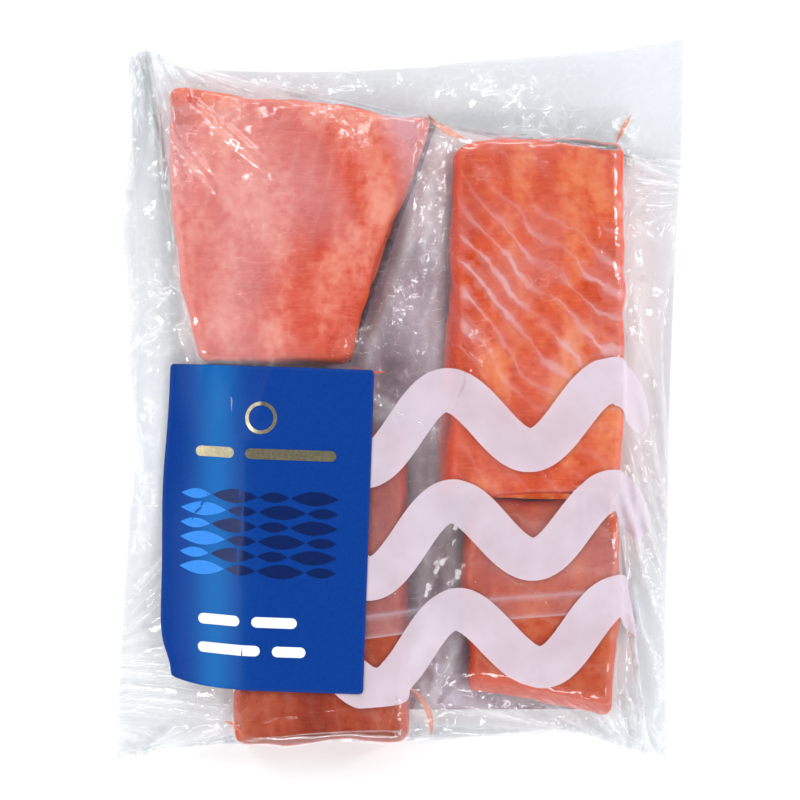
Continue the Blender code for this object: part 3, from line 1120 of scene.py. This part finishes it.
def straight(start, end, bow=0.0):
    """A line between two places in millimetres, bowed sideways."""
    start, end = np.array(start, float), np.array(end, float)
    side = np.array((start[1] - end[1], end[0] - start[0]))
    return lambda s: start + (end - start) * s + side * bow * 4 * s * (1 - s)


def lens(half):
    """The half width of a pointed lens."""
    return lambda s: half * max(math.sin(math.pi * s), 0) ** 0.9 + 0.01


def rounded(half, length):
    """The half width of a bar with round ends."""

    def width(s):
        from_end = min(s, 1 - s) * length
        return half * math.sqrt(max(1 - max(1 - from_end / half, 0) ** 2, 0)) + 0.01

    return width


def join_all(pieces, name):
    """Joins pieces of one kind into one mesh."""
    only(pieces[0])
    for piece in pieces[1:]:
        piece.select_set(True)
    bpy.ops.object.join()
    pieces[0].name = name
    return pieces[0]


# %% [markdown]
# ## Printed waves
# White ink is printed on the film in broad, plain waves. The film was flat when it was printed, so each
# wave is worked out on the flat pouch and then carried onto the drawn-down film with it, which bends and
# narrows it wherever the film does. The ink is thin enough for the fish to tint it.


# %% Ink material
def white_ink():
    """Thin white flexographic ink on film, a little see-through."""
    material = new_material("white_film_ink")
    place = add(material, "TexCoord").outputs["Object"]
    patchy = add(material, "TexNoise", {"Vector": place, "Scale": per_metre(18), "Detail": 3.0})
    limits = {"Value": patchy, "From Min": 0.3, "From Max": 0.7, "To Min": 0.7, "To Max": 0.84}
    cover = add(material, "MapRange", limits)
    ink = {"Base Color": srgb("#e0d2de"), "Roughness": 0.4, "IOR": 1.45}
    layer = add(material, "BsdfPrincipled", ink)
    through = add(material, "BsdfTransparent")
    surface = add(material, "MixShader", {0: cover, 1: through, 2: layer})
    add(material, "OutputMaterial", {"Surface": surface})
    return material


# %% Print the waves
WAVE_LENGTH = 66
WAVE_HEIGHT = 13
WAVE_CREST = 18
WAVE_HALF_BREADTH = 8.5
WAVE_LEVELS = (-12, -55, -98)
WAVE_ENDS = (-60, 104)
INK_LIFT = 0.12 * MM


def wave_line(level):
    """The middle line of one wave."""
    start, end = WAVE_ENDS

    def line(s):
        x = start + (end - start) * s
        turn = 2 * math.pi * (x - WAVE_CREST) / WAVE_LENGTH
        return np.array((x, level + WAVE_HEIGHT * math.cos(turn)))

    return line


waves = []
for level in WAVE_LEVELS:
    width = rounded(WAVE_HALF_BREADTH, WAVE_ENDS[1] - WAVE_ENDS[0])
    wave, plan_mm = strip("wave", 230, 24, wave_line(level), width)
    places = on_film(*film_share(plan_mm[:, 0], plan_mm[:, 1]))
    places[:, 2] += INK_LIFT
    move_points(wave, places)
    waves.append(wave)
finish_piece(join_all(waves, "printed_waves"), white_ink())

# %% [markdown]
# ## Juice in the folds
# The pump draws a little orange juice out of the fish, and it collects in folds of the film at the
# corners of the portions. Each pool is a thin sliver between the films.


# %% Juice material
def salmon_juice():
    """Orange fish juice, wet and bright."""
    material = new_material("salmon_juice")
    place = add(material, "TexCoord").outputs["Object"]
    depth = add(material, "TexNoise", {"Vector": place, "Scale": per_metre(5), "Detail": 3.0})
    stops = ((0.35, "#e2561f"), (0.55, "#ee7c44"), (0.75, "#f7bfa2"))
    colour = add(material, "ValToRGB", {0: depth}, stops)
    inputs = {"Base Color": colour, "Roughness": 0.12, "IOR": 1.34}
    shader = add(material, "BsdfPrincipled", inputs)
    through = add(material, "BsdfTransparent", {"Color": srgb("#ffc8a0")})
    surface = add(material, "MixShader", {0: 0.7, 1: through, 2: shader})
    add(material, "OutputMaterial", {"Surface": surface})
    return material


# %% Pools of juice
# Two ends, half the width in the middle, and the bow, in millimetres and shares.
POOLS = (
    ((92, 109), (99, 122), 0.9, 0.03),
    ((12, 122), (27, 109), 1.8, -0.12),
    ((86, -32), (89, -63), 1.2, 0.03),
    ((72, -36), (87, -41), 1.6, 0.1),
    ((-2, -14), (8, -14), 0.5, 0.05),
    ((3, -120), (13, -143), 1.3, 0.15),
    ((-74, -135), (-65, -142), 0.9, 0.2),
    ((-20, 14), (-6, 12), 0.8, -0.1),
    ((40, -40.4), (88, -41), 1.2, 0.015),
)
outer_tree = [tree_of(outer)]
pools = []
for start, end, half, bow in POOLS:
    pool, plan_mm = strip("pool", 24, 4, straight(start, end, bow), lens(half))
    heights = np.array([height_below(outer_tree, x, y) for x, y in plan_mm * MM])
    move_points(pool, np.column_stack((plan_mm * MM, heights - FILM_GAP / 2)))
    pools.append(pool)
finish_piece(join_all(pools, "juice_pools"), salmon_juice())

# %% [markdown]
# ## The label
# A sheet of coated paper, stuck on the face, blue with a few plain printed shapes. Paper is stiffer than
# film, so it bridges the small folds and bends in one sweep where the film slopes down to the left. It is
# a flat sheet dropped on the film and smoothed, but never let below it.


# %% Paper and inks
def coated_paper(name, colour, deeper, metal=0.0, smoothness=0.4, gloss=0.25, painted_sheen=None):
    """Ink on coated paper: even, with the faint mottle of the fibres under it, and, if a sheen colour is given, a
    lighter stripe painted in as a sheen.
    """
    material = new_material(name)
    place = add(material, "TexCoord").outputs["Object"]
    fibres = add(material, "TexNoise", {"Vector": place, "Scale": per_metre(1.2), "Detail": 3.0})
    stops = ((0.3, deeper), (0.7, colour))
    mottle = add(material, "ValToRGB", {0: fibres}, stops).outputs[0]
    # The painted sheen: a lighter blue stripe where the label bends and catches the light.
    if painted_sheen:
        share = add(material, "Attribute", attribute_name="painted_sheen").outputs["Fac"]
        mottle = add(material, "Mix", {0: share, 6: mottle, 7: srgb(painted_sheen)}, data_type="RGBA").outputs[2]
    bump = add(material, "Bump", {"Height": fibres, "Strength": 0.15, "Distance": 0.05 * MM})
    inputs = {"Base Color": mottle, "Roughness": smoothness, "Metallic": metal, "Normal": bump}
    inputs["Specular IOR Level"] = gloss
    shader = add(material, "BsdfPrincipled", inputs)
    add(material, "OutputMaterial", {"Surface": shader})
    return material


# %% Where the label lies
LABEL_WIDTH, LABEL_LENGTH = 87, 135
LABEL_CENTRE = np.array((-56.5, -53.5))
LABEL_TURN = math.radians(-2)
LABEL_CORNER = 1.6
LABEL_GAP = 0.3 * MM
PAPER_THICKNESS = 0.18 * MM


def on_label(across, up):
    """Plan places in millimetres for places on the flat label, measured from its middle."""
    across, up = np.asarray(across, float), np.asarray(up, float)
    left_part = np.clip((-across - 14) / (LABEL_WIDTH / 2 - 14), 0, 1) ** 2
    foot = np.exp(-(((up + LABEL_LENGTH / 2) / 15) ** 2))
    bulge = np.exp(-(((up - 14) / 28) ** 2))
    x = across + left_part * (5.5 * foot - 1.6 * bulge)
    y = up + left_part * 3.5 * foot
    cos, sin = math.cos(LABEL_TURN), math.sin(LABEL_TURN)
    turned = np.column_stack((x * cos - y * sin, x * sin + y * cos))
    return turned + LABEL_CENTRE


# %% Make the label
bpy.ops.object.select_all(action="DESELECT")
bpy.ops.mesh.primitive_grid_add(size=1, location=(0, 0, 0), x_subdivisions=58, y_subdivisions=90)
label = bpy.context.active_object
label.name = "paper_label"
flat = points_of(label) * (LABEL_WIDTH, LABEL_LENGTH, 1)
corner_off = np.maximum(np.abs(flat[:, :2]) - (LABEL_WIDTH / 2 - LABEL_CORNER, LABEL_LENGTH / 2 - LABEL_CORNER), 0)
beyond = np.linalg.norm(corner_off, axis=1) - LABEL_CORNER
pull_in = np.where(beyond > 0, beyond, 0)[:, None] * corner_off / np.maximum(np.linalg.norm(corner_off, axis=1), 1e-9)[:, None]
flat[:, :2] -= np.sign(flat[:, :2]) * pull_in
# Where the painted sheen lies: a soft stripe about a quarter of the way in from the left, over the bend.
note(label, "painted_sheen", np.exp(-(((flat[:, 0] + 21 + flat[:, 1] * 0.03) / 9) ** 2)) * 0.75)
plan_mm = on_label(flat[:, 0], flat[:, 1])
below = np.array([height_below(outer_tree, x, y) for x, y in plan_mm * MM])
move_points(label, np.column_stack((plan_mm * MM, below + LABEL_GAP)))
for _ in range(8):
    apply(label, "SMOOTH", factor=0.5, iterations=20, use_x=False, use_y=False)
    places = points_of(label)
    places[:, 2] = np.maximum(places[:, 2], below + LABEL_GAP)
    move_points(label, places)
apply(label, "SOLIDIFY", thickness=PAPER_THICKNESS, offset=1)
# The lighter blue is the painted sheen.
paper = coated_paper("blue_coated_paper", "#033b8e", "#023585", smoothness=0.5, gloss=0.12, painted_sheen="#0f6db6")
finish_piece(label, paper)
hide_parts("label")

# %% [markdown]
# ## Marks on the label
# The label carries plain shapes only: a gold ring over two gold bars, rows of pointed lenses that lie
# head to tail, light blue at the left and navy for the rest, and short white bars where a label would
# have its lines of text. All are laid out on the flat label and then dropped on it.

# %% Lay out the marks
label_tree = [tree_of(label)]
MARK_LIFT = 0.1 * MM


def stick_mark(piece, flat_mm):
    """Puts a flat mark on the label."""
    plan_mm = on_label(flat_mm[:, 0], flat_mm[:, 1])
    heights = np.array([height_below(label_tree, x, y) for x, y in plan_mm * MM])
    move_points(piece, np.column_stack((plan_mm * MM, heights + MARK_LIFT)))
    return piece


def bar(start, end, height):
    """A bar with round ends, stuck on the label."""
    length = math.dist(start, end)
    return stick_mark(*strip("bar", 24, 2, straight(start, end), rounded(height / 2, length)))


ROW_STEP = 6.15
LENS_LONG, LENS_SHORT = 19.5, 12.5
LENS_HALF = 2.9
LENS_LEFT = -36.0
light_lenses, navy_lenses = [], []
for row in range(6):
    y = 13.0 - row * ROW_STEP
    x = LENS_LEFT
    lengths = (LENS_SHORT, LENS_LONG) if row % 2 == 0 else (LENS_LONG, LENS_SHORT)
    for number, length in enumerate(lengths * 2):
        half = LENS_HALF * (1 if length == LENS_LONG else 0.72)
        ends = (x, y), (x + length, y)
        mark = stick_mark(*strip("lens", 18, 4, straight(*ends), lens(half)))
        (light_lenses if number == 0 else navy_lenses).append(mark)
        x += length + 0.8
ring_line = lambda s: np.array((math.sin(2 * math.pi * s), math.cos(2 * math.pi * s))) * 6.0 + (-3, 46)
gold = [stick_mark(*strip("ring", 48, 2, ring_line, lambda s: 0.75))]
gold += [bar((-31, 31), (-14, 31), 4.4), bar((-9, 31), (29, 31), 4.4)]
white = [bar((-27, -39), (-9, -39), 4.4), bar((-4, -39), (15, -39), 4.4)]
white += [bar((-27, -51), (0, -51), 4.4), bar((5, -51), (19, -51), 4.4)]
MARKS = (
    ("light_blue_lenses", light_lenses, coated_paper("light_blue_ink", "#2f8be6", "#1f7fe0")),
    ("navy_lenses", navy_lenses, coated_paper("navy_ink", "#02205a", "#021b50")),
    ("gold_marks", gold, coated_paper("gold_foil", "#c9c0a0", "#a89f80", 0.85, 0.32)),
    ("white_bars", white, coated_paper("white_ink", "#f0f3f8", "#e4e9f2")),
)
for name, marks, ink in MARKS:
    finish_piece(join_all(marks, name), ink)
